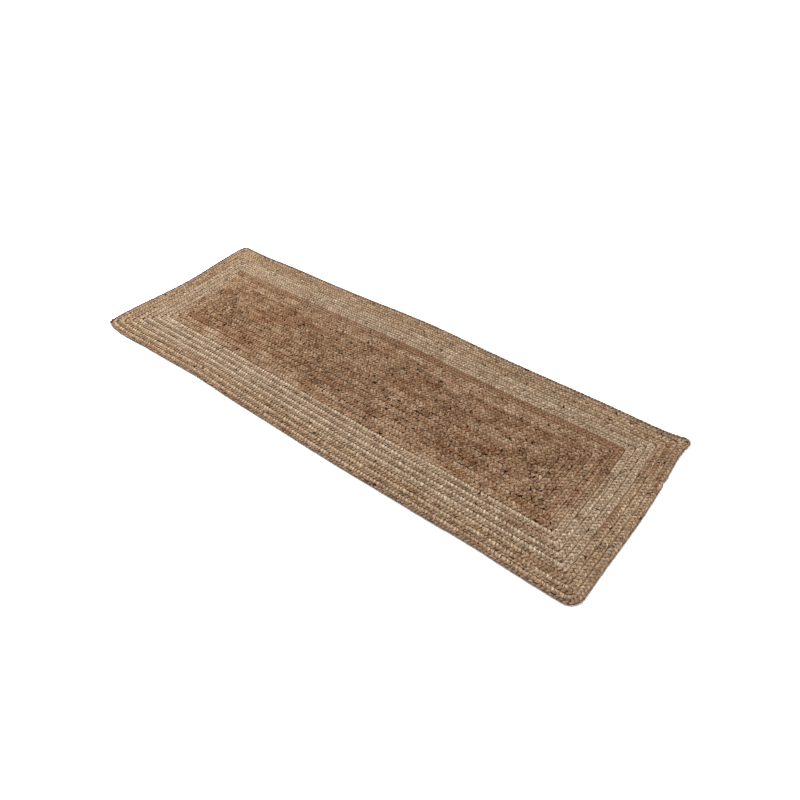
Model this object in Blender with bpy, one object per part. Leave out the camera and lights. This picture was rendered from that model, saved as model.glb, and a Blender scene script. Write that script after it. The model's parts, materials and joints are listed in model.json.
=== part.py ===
"""Braided runner rug: a straight core braid with fourteen braided rings laced round it, edge to edge.

Metres, +Z up.  The origin is the middle of the underside, and +X runs along the rug's length.
Every ring is one length of flat braid, mitred round the four corners, with its two ends butted
together on the +X side.  A lacing thread runs along each seam, in the groove under the rug.
"""

import math

import bmesh
import bpy

# Driving dimensions
LENGTH = 1.8                # over the outermost ring, along X
WIDTH = 0.6                 # over the outermost ring, along Y
THICKNESS = 0.009           # of the pressed flat braid
RING_COUNT = 14             # braided rings round the core
BORDER_RING_COUNT = 7       # the pale rings outside the brown field
OUTER_CORNER_RADIUS = 0.026
CORNER_TIGHTENING = 0.006   # each seam further in turns its corner this much tighter
INNER_CORNER_RADIUS = 0.008 # down to this, where the corners are mitred
SHOULDER_SHARE = 0.22       # rounded shoulder of a braid, as a share of its width
SHOULDER_HEIGHT = 0.0036    # the same shoulder, measured down from the face
THREAD_DIAMETER = 0.0016    # lacing thread
THREAD_HEIGHT = 0.0013      # its centre line over the floor, inside the groove
PIECE_GAP = 0.0003          # clearance between pieces that touch
BUTT_PLACE = 0.5            # where a ring's ends meet, as a share of its straight end

# Fineness of the rounded shapes
CORNER_STEPS = 3
SHOULDER_STEPS = 2
THREAD_BEVEL_RESOLUTION = 1
SMOOTH_ANGLE = math.radians(50)

# Worked out from the driving dimensions
BRAID_WIDTH = WIDTH / (2 * RING_COUNT + 1)

# Linear colours of the yarns
EDGE_BROWN = (0.270, 0.175, 0.105, 1.0)
GOLDEN_TAN = (0.335, 0.228, 0.138, 1.0)
PALE_CREAM = (0.400, 0.300, 0.205, 1.0)
FIELD_BROWN = (0.235, 0.148, 0.090, 1.0)
THREAD_BEIGE = (0.300, 0.220, 0.145, 1.0)
GOLDEN_RING_COUNT = 2       # rings between the outermost ring and the palest ones
YARN_ROUGHNESS = 0.95
THREAD_ROUGHNESS = 0.8


def clear_scene():
    """Remove whatever the file already holds."""
    for scene_object in list(bpy.data.objects):
        bpy.data.objects.remove(scene_object, do_unlink=True)


def yarn_material(name, colour, roughness):
    """A matt fibre material."""
    material = bpy.data.materials.new(name)
    material.use_nodes = True
    shader = material.node_tree.nodes["Principled BSDF"]
    shader.inputs["Base Color"].default_value = colour
    shader.inputs["Roughness"].default_value = roughness
    shader.inputs["Metallic"].default_value = 0.0
    return material


def ring_colour(number):
    """Yarn colour of a ring, counted outwards from the core."""
    if number == RING_COUNT:
        return EDGE_BROWN
    if number >= RING_COUNT - GOLDEN_RING_COUNT:
        return GOLDEN_TAN
    if number > RING_COUNT - BORDER_RING_COUNT:
        return PALE_CREAM
    return FIELD_BROWN


def add_object(name, data, colour, roughness):
    """Link a named object with a material of its own."""
    data.materials.append(yarn_material(name + "_yarn", colour, roughness))
    bpy.context.scene.collection.objects.link(bpy.data.objects.new(name, data))


def finish_mesh(name, shape):
    """Turn a bmesh into a smooth-shaded mesh with its faces pointing out."""
    bmesh.ops.recalc_face_normals(shape, faces=shape.faces)
    mesh = bpy.data.meshes.new(name)
    shape.to_mesh(mesh)
    shape.free()
    mesh.shade_smooth()
    mesh.set_sharp_from_angle(angle=SMOOTH_ANGLE)
    return mesh


def seam_size(number):
    """Half length, half width and corner radius of the seam outside ring `number`; 0 is the core's."""
    rings_outside = RING_COUNT - number
    half_length = LENGTH / 2 - rings_outside * BRAID_WIDTH
    half_width = WIDTH / 2 - rings_outside * BRAID_WIDTH
    radius = max(INNER_CORNER_RADIUS, OUTER_CORNER_RADIUS - rings_outside * CORNER_TIGHTENING)
    return half_length, half_width, radius


def corner_points(half_length, half_width, radius):
    """Points of the four rounded corners, anticlockwise from the corner at +X, +Y."""
    points = []
    for quarter, (side_x, side_y) in enumerate(((1, 1), (-1, 1), (-1, -1), (1, -1))):
        centre_x = side_x * (half_length - radius)
        centre_y = side_y * (half_width - radius)
        for step in range(CORNER_STEPS + 1):
            angle = math.radians(90) * (quarter + step / CORNER_STEPS)
            points.append((centre_x + radius * math.cos(angle), centre_y + radius * math.sin(angle)))
    return points


def open_path(number, offset, butt_place):
    """The seam's outline moved out by `offset`, cut open where the ring's two ends meet."""
    half_length, half_width, radius = seam_size(number)
    half_length += offset
    half_width += offset
    radius += offset
    butt_y = butt_place * (half_width - radius)
    start = (half_length, butt_y + PIECE_GAP / 2)
    end = (half_length, butt_y - PIECE_GAP / 2)
    return [start] + corner_points(half_length, half_width, radius) + [end]


def flank_profile():
    """(inset share of the width, height) up one flank of a braid, from underside to top face."""
    lower = []
    for step in range(SHOULDER_STEPS + 1):
        angle = math.radians(90) * step / SHOULDER_STEPS
        inset = SHOULDER_SHARE * (1 - math.sin(angle))
        height = SHOULDER_HEIGHT * (1 - math.cos(angle))
        lower.append((inset, height))
    upper = [(inset, THICKNESS - height) for inset, height in reversed(lower)]
    return lower + upper


def bridge(shape, first, second):
    """Faces between two loops of vertices that have the same number of points."""
    for index, vertex in enumerate(first):
        following = (index + 1) % len(first)
        shape.faces.new((vertex, first[following], second[following], second[index]))


def ring_braid(number):
    """One course: the braid's section swept between its inner and its outer seam."""
    butt_place = BUTT_PLACE if number % 2 == 0 else -BUTT_PLACE
    outer_offset = 0.0 if number == RING_COUNT else -PIECE_GAP / 2
    inner_path = open_path(number - 1, PIECE_GAP / 2, butt_place)
    outer_path = open_path(number, outer_offset, butt_place)

    flank = flank_profile()
    section = [(1 - inset, height) for inset, height in flank]
    section += [(inset, height) for inset, height in reversed(flank)]

    shape = bmesh.new()
    loops = []
    for (inner_x, inner_y), (outer_x, outer_y) in zip(inner_path, outer_path):
        loop = []
        for share, height in section:
            x = inner_x + share * (outer_x - inner_x)
            y = inner_y + share * (outer_y - inner_y)
            loop.append(shape.verts.new((x, y, height)))
        loops.append(loop)
    for first, second in zip(loops, loops[1:]):
        bridge(shape, first, second)
    shape.faces.new(loops[0])
    shape.faces.new(loops[-1])

    name = f"ring_braid_{number:02d}"
    add_object(name, finish_mesh(name, shape), ring_colour(number), YARN_ROUGHNESS)


def core_braid():
    """The straight middle braid: a stack of rounded outlines that pull in towards both faces."""
    half_length, half_width, radius = seam_size(0)
    shape = bmesh.new()
    loops = []
    for inset_share, height in flank_profile():
        inset = inset_share * BRAID_WIDTH + PIECE_GAP / 2
        outline = corner_points(half_length - inset, half_width - inset, radius - inset)
        loops.append([shape.verts.new((x, y, height)) for x, y in outline])
    for lower, upper in zip(loops, loops[1:]):
        bridge(shape, lower, upper)
    shape.faces.new(loops[0])
    shape.faces.new(loops[-1])
    add_object("core_braid", finish_mesh("core_braid", shape), FIELD_BROWN, YARN_ROUGHNESS)


def lacing_thread(number):
    """The thread that joins ring `number` to the braid inside it, laid in the groove of their seam."""
    name = f"lacing_thread_{number:02d}"
    points = corner_points(*seam_size(number - 1))
    curve = bpy.data.curves.new(name, "CURVE")
    curve.dimensions = "3D"
    curve.bevel_depth = THREAD_DIAMETER / 2
    curve.bevel_resolution = THREAD_BEVEL_RESOLUTION
    spline = curve.splines.new("POLY")
    spline.points.add(len(points) - 1)
    for point, (x, y) in zip(spline.points, points):
        point.co = (x, y, THREAD_HEIGHT, 1.0)
    spline.use_cyclic_u = True
    spline.use_smooth = True
    add_object(name, curve, THREAD_BEIGE, THREAD_ROUGHNESS)


def main():
    clear_scene()
    core_braid()
    for number in range(1, RING_COUNT + 1):
        ring_braid(number)
        lacing_thread(number)


main()
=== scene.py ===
"""Looks of the braided runner rug: plaited yarn strands, lacing, and a plain studio floor."""

import json
import math

import bpy
import numpy as np
from mathutils import Matrix, Vector


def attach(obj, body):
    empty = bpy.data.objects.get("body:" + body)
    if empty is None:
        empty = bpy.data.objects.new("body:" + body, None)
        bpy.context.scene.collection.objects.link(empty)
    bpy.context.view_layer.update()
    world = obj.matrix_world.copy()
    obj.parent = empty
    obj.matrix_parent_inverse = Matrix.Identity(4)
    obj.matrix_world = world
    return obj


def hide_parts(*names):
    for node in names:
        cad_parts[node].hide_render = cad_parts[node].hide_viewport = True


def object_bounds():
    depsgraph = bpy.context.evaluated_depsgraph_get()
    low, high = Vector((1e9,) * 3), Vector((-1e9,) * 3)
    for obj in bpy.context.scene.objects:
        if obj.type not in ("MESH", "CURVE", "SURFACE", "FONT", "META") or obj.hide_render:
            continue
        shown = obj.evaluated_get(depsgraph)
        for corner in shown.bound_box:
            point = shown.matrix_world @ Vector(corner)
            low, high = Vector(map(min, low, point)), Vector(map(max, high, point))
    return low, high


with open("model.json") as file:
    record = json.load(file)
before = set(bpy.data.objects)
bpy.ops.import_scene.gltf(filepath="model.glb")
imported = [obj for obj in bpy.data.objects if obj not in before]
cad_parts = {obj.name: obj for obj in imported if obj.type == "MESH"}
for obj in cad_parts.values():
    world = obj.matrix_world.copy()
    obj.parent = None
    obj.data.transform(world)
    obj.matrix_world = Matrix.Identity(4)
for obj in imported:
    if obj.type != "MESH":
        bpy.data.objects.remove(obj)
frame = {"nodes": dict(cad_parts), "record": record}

# The rug's own sizes, from the frame
CAD_LOW, CAD_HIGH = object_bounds()
LENGTH = CAD_HIGH.x - CAD_LOW.x
WIDTH = CAD_HIGH.y - CAD_LOW.y
THICKNESS = CAD_HIGH.z - CAD_LOW.z
RING_COUNT = sum(name.startswith("ring_braid_") for name in frame["nodes"])
FIELD_RING_COUNT = 7          # the brown rings; the pale ones outside them are the border
BRAID_WIDTH = WIDTH / (2 * RING_COUNT + 1)
SLOT_OF_NODE = {part["node"]: part["material_slot"] for part in frame["record"]["subparts"]}

# Seams, as in the CAD model: the outer corners are round, the inner ones are mitred
OUTER_CORNER_RADIUS = 0.026
EDGE_CORNER_RADII = (0.018, 0.024, 0.012, 0.038)   # of the rug's edge, anticlockwise from +X, +Y
CORNER_TIGHTENING = 0.006     # each seam further in turns its corner this much tighter
INNER_CORNER_RADIUS = 0.008   # down to this
BUTT_PLACE = 0.5              # where a ring's two ends meet, as a share of its straight end
BUTT_GAP = 0.0012
CORNER_STEP = math.radians(5)
STRAIGHT_STEP = 0.01

# The three-strand plait
STRANDS = 3
BORDER_PERIOD = 0.0318        # length in which a strand comes back to its side, in the border
FIELD_PERIOD = 0.0372         # the same in the brown field
SWING = 0.80                  # sideways swing of a strand, as a share of half the braid's width
DWELL = 0.12                  # how long a strand stays at the braid's edge before it turns back
RISE = 0.0020                 # how far a strand rises over and dives under the others
CROWN = 0.35                  # how much nearer to the middle than to the edge it rises highest
STRAND_HALF_WIDTH = 0.0044    # on the faces of the rug
STRAND_HALF_THICKNESS = 0.0021
EDGE_HALF_WIDTH = 0.0036      # where the strand turns under at the braid's edge
EDGE_HALF_THICKNESS = 0.0026
TURN_SHARPNESS = 4            # how suddenly it takes this shape there
STATIONS_PER_PERIOD = 12
SECTION_POINTS = 12
PLY_COUNT = 3                 # yarns twisted together in a strand, seen as lobes
PLY_DEPTH = 0.10
PLY_TWIST = 2 * math.pi / 0.030

# Hand-made unevenness, and its wavelengths along a braid
PHASE_UNEVENNESS = 1.1
PHASE_WAVES = (0.31, 0.17, 0.11, 0.73)
SWING_UNEVENNESS = 0.05
SWING_WAVES = (0.22, 0.09, 0.05)
HEIGHT_UNEVENNESS = 0.0003
HEIGHT_WAVES = (0.13, 0.06, 0.035)
WIDTH_UNEVENNESS = 0.12
WIDTH_WAVES = (0.041, 0.023, 0.11)
BUTT_TAPER_LENGTH = 0.006     # near the two ends of a ring its strands are drawn in
BUTT_TAPER = 0.30             # by this share of their size, at the very end
CORE_TAPER_LENGTH = 0.012     # the same for the core braid
CORE_TAPER = 0.45
SEED = 20
# Where the lacing pulled the rug out of true: (place, pull, reach), in metres
PULLS = (
    ((0.00, 0.30), (0.000, 0.012), 0.24),
    ((-0.77, 0.30), (0.000, -0.005), 0.10),
    ((0.80, 0.30), (0.000, -0.005), 0.12),
    ((-0.79, -0.30), (0.000, -0.006), 0.08),
    ((-0.42, -0.30), (0.000, 0.005), 0.12),
    ((0.15, -0.30), (0.000, -0.003), 0.20),
    ((0.62, -0.30), (0.000, 0.003), 0.09),
    ((-0.90, -0.24), (-0.013, 0.000), 0.11),
    ((-0.90, 0.03), (0.011, 0.000), 0.13),
    ((0.90, 0.00), (0.005, 0.000), 0.15),
    ((0.90, 0.24), (-0.005, 0.000), 0.08),
    ((0.90, 0.30), (0.007, 0.008), 0.03),
    ((-0.90, -0.30), (-0.003, 0.006), 0.028),
)

# Lacing thread under the rug
THREAD_RADIUS = 0.0008
THREAD_HEIGHT = 0.0013        # of its centre line over the floor
THREAD_SWING = 0.0013         # how far it zigzags to each side of the seam
THREAD_STITCH = 0.0105        # length of one zig and zag
THREAD_STATIONS_PER_STITCH = 6
THREAD_SECTION_POINTS = 6
THREAD_TWIST = 0.0015         # length of one turn of the thread's plies

# Yarns, for each material slot.  Fibre colours are linear: dark, middle and light.  The streak rate
# counts rust streaks in a metre of braid, and a higher fleck level gives fewer near-black flecks.
# Hollows between strands, seams and the rug's rim are given painted shade by these amounts, 0 to 1,
# and lot_spread says how much the yarn lots differ along a braid
SEAM_SHADE = 0.55             # of the seams in the border
LOOKS = {
    "edge_braid": {
        "fibres": ((0.078, 0.046, 0.027), (0.313, 0.212, 0.138), (0.600, 0.465, 0.328)),
        "streak_rate": 1.5, "fleck_level": 0.672, "hollow": 0.50, "seam": SEAM_SHADE, "rim": 0.95,
        "lot_spread": 0.4},
    "golden_braid": {
        "fibres": ((0.078, 0.046, 0.026), (0.310, 0.211, 0.130), (0.595, 0.460, 0.315)),
        "streak_rate": 2.0, "fleck_level": 0.682, "hollow": 0.50, "seam": SEAM_SHADE, "rim": 0.0,
        "lot_spread": 0.4},
    "cream_braid": {
        "fibres": ((0.090, 0.058, 0.034), (0.332, 0.240, 0.159), (0.625, 0.520, 0.385)),
        "streak_rate": 0.6, "fleck_level": 0.700, "hollow": 0.50, "seam": SEAM_SHADE, "rim": 0.0,
        "lot_spread": 0.4},
    "field_braid": {
        "fibres": ((0.050, 0.022, 0.009), (0.236, 0.138, 0.077), (0.412, 0.305, 0.208)),
        "streak_rate": 5.0, "fleck_level": 0.650, "hollow": 0.40, "seam": 0.15, "rim": 0.0,
        "lot_spread": 1.0},
}
FIBRE_STOPS = (0.0, 0.5, 1.0)
RUST = (0.180, 0.064, 0.022, 1.0)
NEAR_BLACK = (0.014, 0.008, 0.005, 1.0)
SHEEN_TINT = (1.0, 0.86, 0.72, 1.0)
# Lacing thread, dark between its plies as painted shade and light on them
THREAD_COLOURS = ((0.2, (0.16, 0.11, 0.07)), (0.8, (0.42, 0.32, 0.21)))

# Noises in the yarn: cells a metre along the strand and round it, detail, and place in the noise
NOISES = {
    "fine": (90, 1700, 3, 0.0),
    "clumps": (110, 420, 2, 3.0),
    "yarns": (28, 150, 1, 7.0),
    "spots": (48, 115, 1, 11.0),
}
NOISE_ROUGHNESS = 0.6
TONE_WEIGHTS = {"fine": 0.28, "clumps": 0.42, "yarns": 0.30}
TONE_RANGE = (0.34, 0.66)     # of the weighted noises, from the dark fibres to the light ones
FIBRE_SHIFT = 20              # how far apart in the noise two strands can start

# Yarn lots, whose values lighten a yarn or darken it, and their wavelengths along a braid; on the -Y
# side of the border painted highlight and shade are added to these values
LOT_CONTRAST = 0.075          # between stretches of yarn from different lots
COURSE_LOT_SHARE = 0.8        # how far the strands of a course share their lots
COURSE_LOT_WAVES = (0.52, 0.27, 0.13, 0.07)
STRAND_LOT_WAVES = (0.19, 0.083, 0.037, 0.46)
COURSE_TONE_SPREAD = 0.05     # from course to course
OUTER_FIELD_TONE = 0.50       # the two outer courses of the field are paler
LEFT_END_LOT = -0.20          # the border is a little darker on its -X side
# Painted highlight and shade on the border's -Y side, from a course's inner seam, 0, to its outer seam, 1
NEAR_PAINTED_HIGHLIGHT_AND_SHADE = (
    (0.05, -0.10), (0.15, 0.25), (0.28, 0.75), (0.40, 0.80), (0.52, -0.70),
    (0.62, -1.60), (0.72, -1.00), (0.85, -0.35), (1.00, -0.10))
LOT_BLEND = 0.002             # over which one side's lots give way to the next side's
DARK_LOT_FLECKS = 0.015       # how much more flecked the darker lots are
FLECK_SOFTNESS = 0.035

# Rust streaks, strewn along the braids
STREAK_LENGTHS = (0.030, 0.200)
STREAK_WIDTHS = (0.005, 0.011)
STREAK_STRENGTHS = (0.5, 1.0)
STREAK_SHARES = (0.05, 0.95)  # of the way across the braid
NO_LENGTH = 1e-9              # keeps a streak at a braid's very end from being divided by zero
RUST_PATCHES = (0.35, 0.6, 0.25, 0.9)        # noise from, to, and the share of rust there

# The spliced run of brown and rust yarn in the innermost ring of the border
RUST_RUN_START = -0.10        # along the far side of the ring
RUST_RUN_END = 0.03           # across the rug, on its +X end
BROWN_RUN_END = -0.10
RUN_FADE = 0.12               # over which the run gives way to the ring's own yarn
RUN_BLEND = 0.25              # the same across the braid, as a share of its width
RUST_SIDE_START = 0.2         # place across the braid where rust starts on the far side
RUST_END_STOP = 0.4           # and where it stops on the +X end
RUST_RUN_PATCHES = (0.44, 0.60, 0.0, 0.8)    # noise from, to, and the share of rust there

# Shade in the hollows between strands, in the grooves between yarns and at the edges of a course
HOLLOW_TINT = (0.34, 0.24, 0.18, 1.0)
HOLLOW_TOP = 0.95             # place between mid-height, 0, and the face, 1, where the shade begins
HOLLOW_BOTTOM = 0.30          # and where it is full
GROOVE = 0.45                 # darkness between the yarns of a strand
GROOVE_START = -0.2           # cosine of the place round a yarn where its groove begins
SEAM_START = 0.65             # where a seam's shade begins, from a course's middle, 0, to its edge, 1
LIT_SHADE = 0.3               # share of it left on the -Y and +X sides, where light reaches in
RIM_START = 0.50              # place across the outermost course where the painted shade of the rug's rim begins
RIM_FULL = 0.66               # and where it is full
FAR_RIM = 0.65                # strength of the rim along the +Y side, where 1 is that of the -X side

# Surfaces
SPECULAR_LEVEL = 0.04
SHEEN_ROUGHNESS = 0.5
YARN_SHEEN = 0.03
YARN_ROUGHNESS = (0.3, 0.7, 0.82, 0.98)      # fine noise from, to, and the roughness there
CLUMP_RELIEF = 0.8            # of the clumped fibres, where 1 is that of the fine ones
YARN_BUMP_STRENGTH = 0.8
YARN_BUMP_HEIGHT = 0.0006
THREAD_SHEEN = 0.1
THREAD_ROUGHNESS = 0.75
THREAD_BUMP_STRENGTH = 0.6
THREAD_BUMP_HEIGHT = 0.0002
FLOOR_ROUGHNESS = 0.6
FLOOR_COLOUR = (0.93, 0.93, 0.93, 1.0)

# Studio
FLOOR_SIZE = 60.0
WORLD_COLOUR = (1.0, 1.0, 1.0, 1.0)
WORLD_STRENGTH = 0.75
WINDOW_DIRECTION = (-0.45, 0.45, 1.2)
WINDOW_ANGLE = math.radians(25)
WINDOW_STRENGTH = 2.75
SOFTBOX_PLACE = (-2.0, -0.2, 1.5)
SOFTBOX_TARGET = (-0.6, -0.1, 0.0)
SOFTBOX_SIZE = 1.2
SOFTBOX_POWER = 52.0
CAMERA_PLACE = (1.177, -1.002, 1.318)
CAMERA_HEADING = math.radians(131.10)
CAMERA_TILT = math.radians(43.31)
CAMERA_ROLL = math.radians(-4.39)
CAMERA_LENS = 30.14
CAMERA_SHIFT = -0.05
CAMERA_CLIP_START = 0.05


# ---------------------------------------------------------------- tracks

def rise(values, start, length):
    """0 up to `start`, then a straight rise to 1 over `length`; a negative length rises the other way."""
    return np.clip((values - start) / length, 0, 1)


def wander(places, wavelengths, random):
    """A smooth uneven curve between -1 and 1: a few sine waves with random phases."""
    phases = random.uniform(0, 2 * math.pi, len(wavelengths))
    waves = [np.sin(2 * math.pi * places / length + phase) for length, phase in zip(wavelengths, phases)]
    return sum(waves) / len(waves)


def distance_along(points):
    """Distance along a line of points, from the first one to each."""
    steps = np.linalg.norm(np.diff(points, axis=0), axis=1)
    return np.concatenate(([0.0], np.cumsum(steps)))


def pulled(flat):
    """Points of the true rectangle, moved to where the uneven lacing pulled them."""
    moved = flat.copy()
    for place, pull, reach in PULLS:
        distance = np.linalg.norm(flat - place, axis=1)
        moved += np.exp(-(distance / reach) ** 2)[:, None] * pull
    return moved


def seam_size(number):
    """Half length, half width and corner radius of the seam outside ring `number`; 0 is the core's."""
    rings_outside = RING_COUNT - number
    half_length = LENGTH / 2 - rings_outside * BRAID_WIDTH
    half_width = WIDTH / 2 - rings_outside * BRAID_WIDTH
    radius = max(INNER_CORNER_RADIUS, OUTER_CORNER_RADIUS - rings_outside * CORNER_TIGHTENING)
    return half_length, half_width, radius


def corner_reach(turned, inner_radius, outer_radius):
    """Distance from an inner corner's centre to the outer seam, once the braid has turned by this much."""
    side = inner_radius + BRAID_WIDTH
    offset = side - outer_radius
    cosine, sine = np.cos(turned), np.sin(turned)
    under_root = outer_radius ** 2 - (offset * (cosine - sine)) ** 2
    on_arc = offset * (cosine + sine) + np.sqrt(np.maximum(under_root, 0))
    on_side = side / np.maximum(cosine, sine)
    return np.where(side * np.minimum(cosine, sine) < offset * np.maximum(cosine, sine), on_side, on_arc)


class Track:
    """The band a braid follows: at each station a hub, a direction and both seams' distances from it."""

    def __init__(self, hubs, directions, inner, outer):
        self.hubs = np.asarray(hubs)
        self.directions = np.asarray(directions)
        self.inner = inner
        self.outer = np.asarray(outer)
        middle = self.hubs + self.outward(self.directions) * ((inner + self.outer) / 2)[:, None]
        self.places = distance_along(middle)
        self.length = self.places[-1]

    @staticmethod
    def outward(directions):
        """Unit vectors that point this way."""
        return np.stack((np.cos(directions), np.sin(directions)), axis=1)

    def at(self, places, share):
        """Points at these places along the middle, and this share of the way to the outer seam."""
        hubs = np.stack([np.interp(places, self.places, self.hubs[:, axis]) for axis in (0, 1)], axis=1)
        directions = np.interp(places, self.places, self.directions)
        outer = np.interp(places, self.places, self.outer)
        reach = self.inner + share * (outer - self.inner)
        return pulled(hubs + self.outward(directions) * reach[:, None])


def ring_track(number):
    """The track of a ring, anticlockwise from its butt joint on the +X side."""
    half_length, half_width, inner_radius = seam_size(number - 1)
    outer_radii = EDGE_CORNER_RADII if number == RING_COUNT else [seam_size(number)[2]] * 4
    hub_x = half_length - inner_radius
    hub_y = half_width - inner_radius
    butt_y = hub_y * (BUTT_PLACE if number % 2 == 0 else -BUTT_PLACE)
    straight_reach = inner_radius + BRAID_WIDTH
    turns = np.linspace(0, math.pi / 2, round(math.pi / 2 / CORNER_STEP) + 1)

    hubs = [(hub_x, butt_y)]
    directions = [0.0]
    outer = [straight_reach]

    def add_straight(end, direction):
        start = hubs[-1]
        count = max(1, round(math.dist(start, end) / STRAIGHT_STEP))
        for step in range(1, count + 1):
            share = step / count
            hubs.append((start[0] + share * (end[0] - start[0]), start[1] + share * (end[1] - start[1])))
            directions.append(direction)
            outer.append(straight_reach)

    for quarter, (side_x, side_y) in enumerate(((1, 1), (-1, 1), (-1, -1), (1, -1))):
        corner = (side_x * hub_x, side_y * hub_y)
        add_straight(corner, quarter * math.pi / 2)
        hubs.extend([corner] * len(turns))
        directions.extend(quarter * math.pi / 2 + turns)
        outer.extend(corner_reach(turns, inner_radius, outer_radii[quarter]))
    add_straight((hub_x, butt_y), 2 * math.pi)
    return Track(hubs, directions, inner_radius, outer)


def core_track():
    """The straight track of the core braid."""
    half_length = seam_size(0)[0]
    x = np.linspace(-half_length, half_length, round(2 * half_length / STRAIGHT_STEP) + 1)
    hubs = np.stack((x, np.full_like(x, -BRAID_WIDTH / 2)), axis=1)
    return Track(hubs, np.full_like(x, math.pi / 2), 0.0, np.full_like(x, BRAID_WIDTH))


# ---------------------------------------------------------------- shapes

def tube(centre, half_width, half_thickness, section_points, ply_angle=None):
    """Vertices, sides and caps of a closed tube with an oval section round a line of points."""
    along = np.gradient(centre, axis=0)
    along /= np.linalg.norm(along, axis=1)[:, None]
    across = np.cross((0.0, 0.0, 1.0), along)
    across /= np.linalg.norm(across, axis=1)[:, None]
    above = np.cross(along, across)
    angles = 2 * math.pi * np.arange(section_points) / section_points
    swell = np.ones((len(centre), section_points))
    if ply_angle is not None:
        swell += PLY_DEPTH * np.cos(PLY_COUNT * (angles[None] - ply_angle[:, None]))
    sideways = (half_width[:, None] * np.cos(angles) * swell)[:, :, None] * across[:, None]
    upwards = (half_thickness[:, None] * np.sin(angles) * swell)[:, :, None] * above[:, None]
    vertices = (centre[:, None] + sideways + upwards).reshape(-1, 3)

    first = np.arange(len(centre) - 1)[:, None] * section_points
    point = np.arange(section_points)[None]
    following = (point + 1) % section_points
    second = first + section_points
    sides = np.stack((first + point, first + following, second + following, second + point), axis=2)
    last = (len(centre) - 1) * section_points
    caps = [list(reversed(range(section_points))), list(range(last, last + section_points))]
    return vertices, sides.reshape(-1, 4), caps


def add_attribute(mesh, name, values):
    """A value or a vector for each vertex."""
    is_vector = values.ndim == 2
    attribute = mesh.attributes.new(name, "FLOAT_VECTOR" if is_vector else "FLOAT", "POINT")
    attribute.data.foreach_set("vector" if is_vector else "value", values.astype(np.float32).ravel())


def mesh_object(name, tubes, attributes):
    """One object from several tubes, with its vertex attributes."""
    vertices = np.concatenate([part[0] for part in tubes])
    faces = []
    offset = 0
    for part_vertices, sides, caps in tubes:
        faces.extend((sides + offset).tolist())
        faces.extend([[index + offset for index in cap] for cap in caps])
        offset += len(part_vertices)
    mesh = bpy.data.meshes.new(name)
    mesh.from_pydata(vertices.tolist(), [], faces)
    mesh.shade_smooth()
    for attribute_name, values in attributes.items():
        add_attribute(mesh, attribute_name, values)
    piece = bpy.data.objects.new(name, mesh)
    bpy.context.scene.collection.objects.link(piece)
    return piece


def end_taper(track, places, taper_length, taper):
    """Size of the strands, which are drawn in towards the braid's two ends."""
    from_end = np.minimum(places, track.length - places)
    return 1 - taper * np.exp(-(from_end / taper_length) ** 2)


def strand_line(track, places, angle, swing, drawn_in, random):
    """The middle line of a strand that swings from side to side, over and under the others."""
    over_under = np.sin(2 * angle) + CROWN * np.sin(4 * angle)
    height = THICKNESS / 2 + RISE * over_under * drawn_in
    height += HEIGHT_UNEVENNESS * wander(places, HEIGHT_WAVES, random)
    sideways = np.sin(angle) + DWELL * np.sin(3 * angle)
    flat = track.at(places, 0.5 + 0.5 * swing * drawn_in * sideways)
    return np.column_stack((flat, height))


def strand_section(places, angle, drawn_in, random):
    """Half width and half thickness of a strand, which is rounder where it turns at the edge."""
    turned = np.sin(angle) ** TURN_SHARPNESS
    lumpy = drawn_in * (1 + WIDTH_UNEVENNESS * wander(places, WIDTH_WAVES, random))
    half_width = lumpy * (STRAND_HALF_WIDTH + turned * (EDGE_HALF_WIDTH - STRAND_HALF_WIDTH))
    half_thickness = drawn_in * (
        STRAND_HALF_THICKNESS + turned * (EDGE_HALF_THICKNESS - STRAND_HALF_THICKNESS))
    return half_width, half_thickness


def plaited_braid(name, track, period, ends, look, tone, random):
    """A flat three-strand plait along a track, with its two ends drawn in."""
    periods = round(track.length / period)
    places = np.linspace(BUTT_GAP / 2, track.length - BUTT_GAP / 2, periods * STATIONS_PER_PERIOD + 1)
    phase = -2 * math.pi * periods * places / track.length
    phase += PHASE_UNEVENNESS * wander(places, PHASE_WAVES, random)
    swing = SWING * (1 + SWING_UNEVENNESS * wander(places, SWING_WAVES, random))
    drawn_in = end_taper(track, places, *ends)
    course_lot = wander(places, COURSE_LOT_WAVES, random)
    streaks = make_streaks(track, look["streak_rate"], random)

    tubes = []
    fields = {field: [] for field in ("fibre", "lot_and_painted_light", "crown", "edge", "rust")}
    for strand in range(STRANDS):
        angle = phase + 2 * math.pi * strand / STRANDS
        centre = strand_line(track, places, angle, swing, drawn_in, random)
        half_width, half_thickness = strand_section(places, angle, drawn_in, random)
        travelled = distance_along(centre)
        ply_angle = PLY_TWIST * travelled
        part = tube(centre, half_width, half_thickness, SECTION_POINTS, ply_angle)
        tubes.append(part)

        vertices = part[0]
        across = place_in_course(vertices, track, places)
        strand_lot = COURSE_LOT_SHARE * course_lot + wander(places, STRAND_LOT_WAVES, random)
        strand_lot = strand_lot * look["lot_spread"] + tone
        fields["fibre"].append(fibre_places(travelled, ply_angle, random))
        fields["lot_and_painted_light"].append(lots_with_painted_light(vertices, across, strand_lot))
        fields["crown"].append(np.abs(vertices[:, 2] / THICKNESS - 0.5) * 2)
        fields["edge"].append(edge_shade(vertices, across, look))
        fields["rust"].append(streak_strength(vertices, streaks))
    return mesh_object(name, tubes, {field: np.concatenate(values) for field, values in fields.items()})


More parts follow.
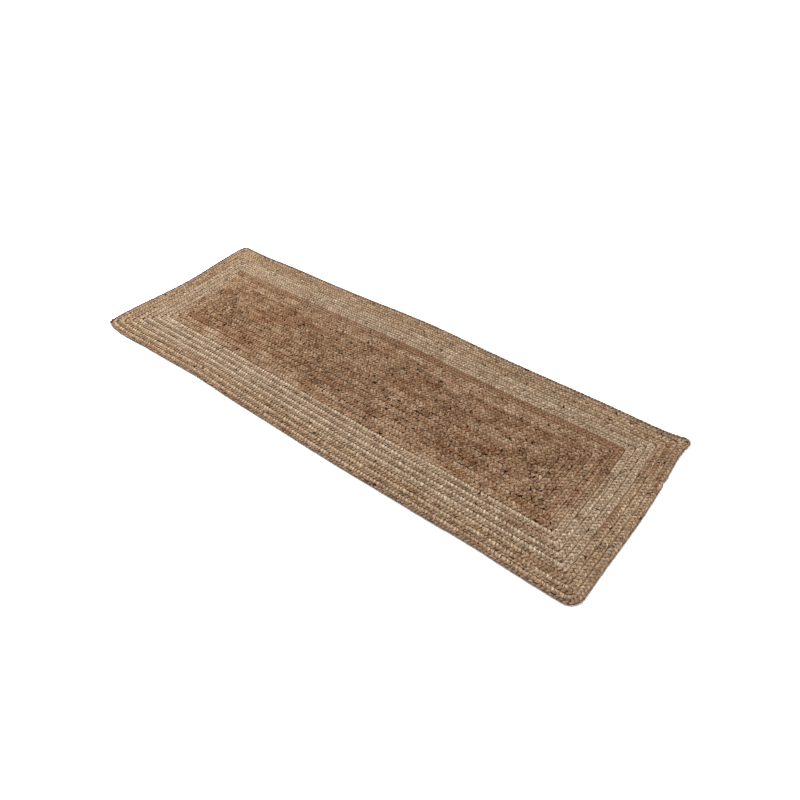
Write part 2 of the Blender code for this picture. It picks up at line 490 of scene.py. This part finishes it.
def lacing_thread(name, number):
    """The thread that zigzags along a seam, in the groove under the rug."""
    track = ring_track(number)
    stitches = round(track.length / THREAD_STITCH)
    places = np.linspace(BUTT_GAP, track.length - BUTT_GAP, stitches * THREAD_STATIONS_PER_STITCH + 1)
    zigzag = THREAD_SWING / BRAID_WIDTH * np.sin(2 * math.pi * stitches * places / track.length)
    flat = track.at(places, zigzag)
    centre = np.column_stack((flat, np.full(len(places), THREAD_HEIGHT)))
    radius = np.full(len(places), THREAD_RADIUS)
    part = tube(centre, radius, radius, THREAD_SECTION_POINTS)
    along = np.repeat(distance_along(centre), THREAD_SECTION_POINTS)
    return mesh_object(name, [part], {"along": along})


# ---------------------------------------------------------------- values for the vertices of a braid

def place_in_course(vertices, track, places):
    """Where each vertex lies between the course's inner seam, 0, and its outer seam, 1."""
    middle = np.repeat(track.at(places, 0.5), SECTION_POINTS, axis=0)
    span = np.repeat(track.at(places, 1.0) - track.at(places, 0.0), SECTION_POINTS, axis=0)
    return 0.5 + ((vertices[:, :2] - middle) * span).sum(axis=1) / (span ** 2).sum(axis=1)


def border_side_share(vertices, axis, sign):
    """1 on the side of the border that faces this way, up to its mitres, and 0 elsewhere."""
    half_sizes = (LENGTH / 2, WIDTH / 2)
    from_its_edge = half_sizes[axis] - sign * vertices[:, axis]
    from_other_edges = half_sizes[1 - axis] - np.abs(vertices[:, 1 - axis])
    border = (RING_COUNT - FIELD_RING_COUNT) * BRAID_WIDTH
    return rise(np.minimum(from_other_edges, border) - from_its_edge, -LOT_BLEND / 2, LOT_BLEND)


def lots_with_painted_light(vertices, across, strand_lot):
    """The strand's yarn lots, plus painted highlight and shade on the -Y side of the border, and shifted
    on the -X side.
    """
    lots = np.repeat(strand_lot, SECTION_POINTS)
    lots += border_side_share(vertices, 1, -1) * np.interp(across, *zip(*NEAR_PAINTED_HIGHLIGHT_AND_SHADE))
    lots += border_side_share(vertices, 0, -1) * LEFT_END_LOT
    return lots


def edge_shade(vertices, across, look):
    """Painted shade along the two edges of a course, and on the rim of the outermost one, less where light
    reaches in.
    """
    from_middle = np.abs(across - 0.5) * 2
    seam = look["seam"] * rise(from_middle, SEAM_START, 1 - SEAM_START)
    rim = look["rim"] * rise(across, RIM_START, RIM_FULL - RIM_START)
    rim *= FAR_RIM + border_side_share(vertices, 0, -1) * (1 - FAR_RIM)
    lit = np.maximum(border_side_share(vertices, 1, -1), border_side_share(vertices, 0, 1))
    return np.maximum(seam, rim) * (1 - lit * (1 - LIT_SHADE))


def fibre_places(travelled, ply_angle, random):
    """Where each vertex lies in the strand: along it, and round it as the yarns twist."""
    angles = 2 * math.pi * np.arange(SECTION_POINTS) / SECTION_POINTS
    turned = angles[None] - ply_angle[:, None]
    along = np.repeat(travelled + random.uniform(0, FIBRE_SHIFT), SECTION_POINTS)
    round_y = STRAND_HALF_WIDTH * np.cos(turned).ravel()
    round_z = STRAND_HALF_WIDTH * np.sin(turned).ravel()
    return np.column_stack((along, round_y, round_z))


def make_streaks(track, rate, random):
    """Rust streaks strewn along a braid: middles, directions, half lengths, half widths and strengths."""
    count = random.poisson(rate * track.length)
    places = random.uniform(0, track.length, count)
    shares = random.uniform(*STREAK_SHARES, count)
    middles = track.at(places, shares)
    ahead = track.at(places + STRAIGHT_STEP, shares) - middles
    ahead /= np.linalg.norm(ahead, axis=1)[:, None] + NO_LENGTH
    half_lengths = random.uniform(*STREAK_LENGTHS, count) / 2
    half_widths = random.uniform(*STREAK_WIDTHS, count) / 2
    return middles, ahead, half_lengths, half_widths, random.uniform(*STREAK_STRENGTHS, count)


def streak_strength(vertices, streaks):
    """How rusty each vertex is, 0 to 1."""
    middles, ahead, half_lengths, half_widths, strengths = streaks
    offsets = vertices[:, None, :2] - middles[None]
    along = (offsets * ahead).sum(axis=2) / half_lengths
    across = (offsets[:, :, 0] * ahead[:, 1] - offsets[:, :, 1] * ahead[:, 0]) / half_widths
    marked = strengths * np.exp(-(along ** 2 + across ** 2) ** 2)
    return marked.max(axis=1, initial=0.0)


def add_spliced_run(piece):
    """Brown yarn spliced into the palest ring along its far side, with a rust run up to the corner."""
    mesh = piece.data
    places = np.empty(len(mesh.vertices) * 3, dtype=np.float32)
    mesh.vertices.foreach_get("co", places)
    x, y = places.reshape(-1, 3)[:, :2].T
    half_length, half_width, _ = seam_size(FIELD_RING_COUNT)
    across_side = (y - half_width) / BRAID_WIDTH
    across_end = (x - half_length) / BRAID_WIDTH

    on_side = rise(across_side, -RUN_BLEND, RUN_BLEND)
    on_end = rise(across_end, -RUN_BLEND, RUN_BLEND)
    brown = np.maximum(on_side, on_end * rise(y, BROWN_RUN_END, RUN_FADE))
    rust_side = rise(across_side, RUST_SIDE_START, RUN_BLEND) * rise(x, RUST_RUN_START, RUN_FADE)
    rust_end = on_end * rise(across_end, RUST_END_STOP, -RUN_BLEND) * rise(y, RUST_RUN_END, RUN_FADE)
    add_attribute(mesh, "brown_run", brown)
    add_attribute(mesh, "rust_run", brown * np.maximum(rust_side, rust_end))


# ---------------------------------------------------------------- materials

def add_node(tree, kind, inputs=None, **settings):
    """A shader node with its settings, and its inputs as values or as links."""
    node = tree.nodes.new(kind)
    for key, value in settings.items():
        setattr(node, key, value)
    for key, value in (inputs or {}).items():
        if isinstance(value, bpy.types.NodeSocket):
            tree.links.new(value, node.inputs[key])
        else:
            node.inputs[key].default_value = value
    return node


def attribute_value(tree, name):
    """A vertex attribute's value."""
    return add_node(tree, "ShaderNodeAttribute", attribute_name=name).outputs["Fac"]


def fibre_place(tree):
    """The place in the strand's own coordinates."""
    return add_node(tree, "ShaderNodeAttribute", attribute_name="fibre").outputs["Vector"]


def fibre_noise(tree, along, round_strand, detail, offset):
    """Noise in the strand's own coordinates, with this many cells a metre along and round it."""
    scaled = add_node(tree, "ShaderNodeMapping", {
        "Vector": fibre_place(tree), "Scale": (along, round_strand, round_strand),
        "Location": (offset, offset, 0)})
    noise = add_node(tree, "ShaderNodeTexNoise", {
        "Vector": scaled.outputs[0], "Scale": 1.0, "Detail": detail, "Roughness": NOISE_ROUGHNESS})
    return noise.outputs["Fac"]


def ramp(tree, value, stops):
    """A colour ramp with these (place, linear colour) stops."""
    node = add_node(tree, "ShaderNodeValToRGB", {"Fac": value})
    elements = node.color_ramp.elements
    while len(elements) < len(stops):
        elements.new(1.0)
    for element, (place, colour) in zip(elements, stops):
        element.position = place
        element.color = (*colour, 1.0)
    return node.outputs["Color"]


def remap(tree, value, low, high, out_low=0.0, out_high=1.0):
    """A value taken from one range to another, and kept inside it."""
    node = add_node(tree, "ShaderNodeMapRange", {
        "Value": value, "From Min": low, "From Max": high, "To Min": out_low, "To Max": out_high})
    return node.outputs["Result"]


def maths(tree, operation, first, second=0.0):
    """One step of arithmetic on values or links."""
    return add_node(tree, "ShaderNodeMath", {0: first, 1: second}, operation=operation).outputs[0]


def mix_colour(tree, share, first, second, blend="MIX"):
    """Two colours, each a value or a link, mixed by a share."""
    node = add_node(tree, "ShaderNodeMix", data_type="RGBA", blend_type=blend)
    sockets = [socket for socket in node.inputs if socket.enabled]
    for socket, value in zip(sockets, (share, first, second)):
        if isinstance(value, bpy.types.NodeSocket):
            tree.links.new(value, socket)
        else:
            socket.default_value = value
    return next(socket for socket in node.outputs if socket.enabled)


def new_material(name):
    """A Principled material with its node tree and its shader."""
    material = bpy.data.materials.new(name)
    material.use_nodes = True
    return material, material.node_tree, material.node_tree.nodes["Principled BSDF"]


def make_fibrous(shader, sheen):
    """The dull, slightly hairy surface of yarn and thread."""
    shader.inputs["Specular IOR Level"].default_value = SPECULAR_LEVEL
    shader.inputs["Sheen Weight"].default_value = sheen
    shader.inputs["Sheen Roughness"].default_value = SHEEN_ROUGHNESS
    shader.inputs["Sheen Tint"].default_value = SHEEN_TINT


def add_bump(tree, shader, height, strength, distance):
    """Relief on the shader's surface."""
    bump = add_node(tree, "ShaderNodeBump", {"Height": height, "Strength": strength, "Distance": distance})
    tree.links.new(bump.outputs[0], shader.inputs["Normal"])


def ply_groove(tree):
    """1 in the grooves between the yarns twisted together in a strand, 0 on their crests."""
    axes = add_node(tree, "ShaderNodeSeparateXYZ", {0: fibre_place(tree)})
    angle = maths(tree, "ARCTAN2", axes.outputs["Z"], axes.outputs["Y"])
    crest = maths(tree, "COSINE", maths(tree, "MULTIPLY", angle, PLY_COUNT))
    return remap(tree, crest, GROOVE_START, -1.0)


def fibre_tone(tree, noises, lot_and_painted_light):
    """How light the fibres are, 0 to 1: mottling of three sizes, and the yarn's lots with their painted
    highlight and shade.
    """
    weighted = [maths(tree, "MULTIPLY", noises[kind], weight) for kind, weight in TONE_WEIGHTS.items()]
    weighted.append(maths(tree, "MULTIPLY", lot_and_painted_light, LOT_CONTRAST))
    mixed = weighted[0]
    for value in weighted[1:]:
        mixed = maths(tree, "ADD", mixed, value)
    return remap(tree, mixed, *TONE_RANGE)


def add_rust(tree, colour, noises):
    """Patchy rust in the streaks and in the spliced run."""
    patchy = remap(tree, noises["yarns"], *RUST_RUN_PATCHES)
    rust_run = maths(tree, "MULTIPLY", attribute_value(tree, "rust_run"), patchy)
    rust = maths(tree, "MAXIMUM", attribute_value(tree, "rust"), rust_run)
    uneven = remap(tree, noises["clumps"], *RUST_PATCHES)
    return mix_colour(tree, maths(tree, "MULTIPLY", rust, uneven), colour, RUST)


def add_flecks(tree, colour, noises, lot_and_painted_light, fleck_level):
    """Near-black flecks, with more of them in the darker lots."""
    flecked = maths(tree, "SUBTRACT", noises["spots"], maths(tree, "MULTIPLY", lot_and_painted_light, DARK_LOT_FLECKS))
    fleck = remap(tree, flecked, fleck_level, fleck_level + FLECK_SOFTNESS)
    return mix_colour(tree, fleck, colour, NEAR_BLACK)


def add_shade(tree, colour, groove, hollow_shade):
    """Shade in hollows, along the edges of a course and in grooves; the rim is shaded twice over."""
    hollow = remap(tree, attribute_value(tree, "crown"), HOLLOW_TOP, HOLLOW_BOTTOM, 0.0, hollow_shade)
    edge = attribute_value(tree, "edge")
    rim = remap(tree, edge, SEAM_SHADE, 1.0)
    for share in (hollow, edge, rim, maths(tree, "MULTIPLY", groove, GROOVE)):
        colour = mix_colour(tree, share, colour, HOLLOW_TINT, "MULTIPLY")
    return colour


def yarn_material(name, look):
    """Plaited yarn: mixed fibres along each strand, rust stretches, dark flecks, painted shade in the
    hollows.
    """
    material, tree, shader = new_material(name)
    make_fibrous(shader, YARN_SHEEN)
    noises = {kind: fibre_noise(tree, *settings) for kind, settings in NOISES.items()}
    groove = ply_groove(tree)
    # yarn lots, with painted highlight and shade on the -Y side of the border
    lot_and_painted_light = attribute_value(tree, "lot_and_painted_light")

    tone = fibre_tone(tree, noises, lot_and_painted_light)
    own = ramp(tree, tone, list(zip(FIBRE_STOPS, look["fibres"])))
    brown = ramp(tree, tone, list(zip(FIBRE_STOPS, LOOKS["field_braid"]["fibres"])))
    colour = mix_colour(tree, attribute_value(tree, "brown_run"), own, brown)
    colour = add_rust(tree, colour, noises)
    colour = add_flecks(tree, colour, noises, lot_and_painted_light, look["fleck_level"])
    colour = add_shade(tree, colour, groove, look["hollow"])
    tree.links.new(colour, shader.inputs["Base Color"])
    tree.links.new(remap(tree, noises["fine"], *YARN_ROUGHNESS), shader.inputs["Roughness"])

    height = maths(tree, "ADD", noises["fine"], maths(tree, "MULTIPLY", noises["clumps"], CLUMP_RELIEF))
    height = maths(tree, "SUBTRACT", height, groove)
    add_bump(tree, shader, height, YARN_BUMP_STRENGTH, YARN_BUMP_HEIGHT)
    return material


def thread_material(name):
    """Twisted lacing thread."""
    material, tree, shader = new_material(name)
    make_fibrous(shader, THREAD_SHEEN)
    shader.inputs["Roughness"].default_value = THREAD_ROUGHNESS
    along = maths(tree, "MULTIPLY", attribute_value(tree, "along"), 2 * math.pi / THREAD_TWIST)
    twist = remap(tree, maths(tree, "SINE", along), -1.0, 1.0)
    # painted shade between the thread's plies, lighter on their crests
    tree.links.new(ramp(tree, twist, THREAD_COLOURS), shader.inputs["Base Color"])
    add_bump(tree, shader, twist, THREAD_BUMP_STRENGTH, THREAD_BUMP_HEIGHT)
    return material


def floor_material():
    """Plain pale studio floor."""
    material, _, shader = new_material("studio_floor")
    shader.inputs["Base Color"].default_value = FLOOR_COLOUR
    shader.inputs["Roughness"].default_value = FLOOR_ROUGHNESS
    shader.inputs["Specular IOR Level"].default_value = SPECULAR_LEVEL
    return material


# ---------------------------------------------------------------- the rug

def settle(piece, node):
    """The piece stands for its CAD node and rides on the rug's one body."""
    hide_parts(node)
    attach(piece, "root")


def make_braid(number, materials):
    """One plaited braid, in place of its CAD solid; 0 is the core."""
    node = f"ring_braid_{number:02d}" if number else "core_braid"
    slot = SLOT_OF_NODE[node]
    random = np.random.default_rng(SEED + number)
    track = ring_track(number) if number else core_track()
    ends = (BUTT_TAPER_LENGTH, BUTT_TAPER) if number else (CORE_TAPER_LENGTH, CORE_TAPER)
    period = FIELD_PERIOD if number <= FIELD_RING_COUNT else BORDER_PERIOD
    tone = random.uniform(-COURSE_TONE_SPREAD, COURSE_TONE_SPREAD)
    if number in (FIELD_RING_COUNT - 1, FIELD_RING_COUNT):
        tone += OUTER_FIELD_TONE
    piece = plaited_braid("plaited_" + node, track, period, ends, LOOKS[slot], tone, random)
    piece.data.materials.append(materials[slot])
    if number == FIELD_RING_COUNT + 1:
        add_spliced_run(piece)
    settle(piece, node)


def make_braids():
    """The core and every ring."""
    materials = {slot: yarn_material(slot, look) for slot, look in LOOKS.items()}
    for number in range(RING_COUNT + 1):
        make_braid(number, materials)


def make_lacing():
    """Every lacing thread, in place of its plain CAD solid."""
    material = thread_material("lacing_thread")
    for number in range(1, RING_COUNT + 1):
        node = f"lacing_thread_{number:02d}"
        piece = lacing_thread("stitched_" + node, number)
        piece.data.materials.append(material)
        settle(piece, node)


# ---------------------------------------------------------------- studio

def make_floor():
    """A wide plain floor under the rug."""
    half = FLOOR_SIZE / 2
    corners = [(-half, -half, 0), (half, -half, 0), (half, half, 0), (-half, half, 0)]
    mesh = bpy.data.meshes.new("studio_floor")
    mesh.from_pydata(corners, [], [(0, 1, 2, 3)])
    mesh.materials.append(floor_material())
    floor = bpy.data.objects.new("studio_floor", mesh)
    bpy.context.scene.collection.objects.link(floor)


def make_softbox():
    """A square softbox on the left that brightens the -X end of the rug."""
    light = bpy.data.lights.new("softbox_left", "AREA")
    light.size = SOFTBOX_SIZE
    light.energy = SOFTBOX_POWER
    softbox = bpy.data.objects.new("softbox_left", light)
    softbox.location = SOFTBOX_PLACE
    backwards = Vector(SOFTBOX_PLACE) - Vector(SOFTBOX_TARGET)
    softbox.rotation_euler = backwards.to_track_quat("Z", "Y").to_euler()
    bpy.context.scene.collection.objects.link(softbox)


def make_window_light():
    """Even soft light over the whole floor, from behind the rug and to its left."""
    light = bpy.data.lights.new("window", "SUN")
    light.angle = WINDOW_ANGLE
    light.energy = WINDOW_STRENGTH
    window = bpy.data.objects.new("window", light)
    window.rotation_euler = Vector(WINDOW_DIRECTION).to_track_quat("Z", "Y").to_euler()
    bpy.context.scene.collection.objects.link(window)


def make_world():
    """White surroundings."""
    world = bpy.data.worlds.new("studio")
    world.use_nodes = True
    background = world.node_tree.nodes["Background"]
    background.inputs["Color"].default_value = WORLD_COLOUR
    background.inputs["Strength"].default_value = WORLD_STRENGTH
    bpy.context.scene.world = world


def make_camera():
    """The camera, from its place, its heading and its tilt, with a slight roll."""
    forward = Vector((math.cos(CAMERA_TILT) * math.cos(CAMERA_HEADING),
                      math.cos(CAMERA_TILT) * math.sin(CAMERA_HEADING), -math.sin(CAMERA_TILT)))
    level = Vector((math.sin(CAMERA_HEADING), -math.cos(CAMERA_HEADING), 0.0))
    upright = level.cross(forward)
    right = math.cos(CAMERA_ROLL) * level + math.sin(CAMERA_ROLL) * upright
    up = right.cross(forward)
    data = bpy.data.cameras.new("camera")
    data.lens = CAMERA_LENS
    data.shift_x = CAMERA_SHIFT
    data.clip_start = CAMERA_CLIP_START
    camera = bpy.data.objects.new("camera", data)
    turn = Matrix((right, up, -forward)).transposed().to_4x4()
    camera.matrix_world = Matrix.Translation(CAMERA_PLACE) @ turn
    bpy.context.scene.collection.objects.link(camera)
    bpy.context.scene.camera = camera


make_camera()
make_world()
make_floor()
make_window_light()
make_softbox()
make_braids()
make_lacing()
bpy.context.scene.view_settings.view_transform = "Standard"
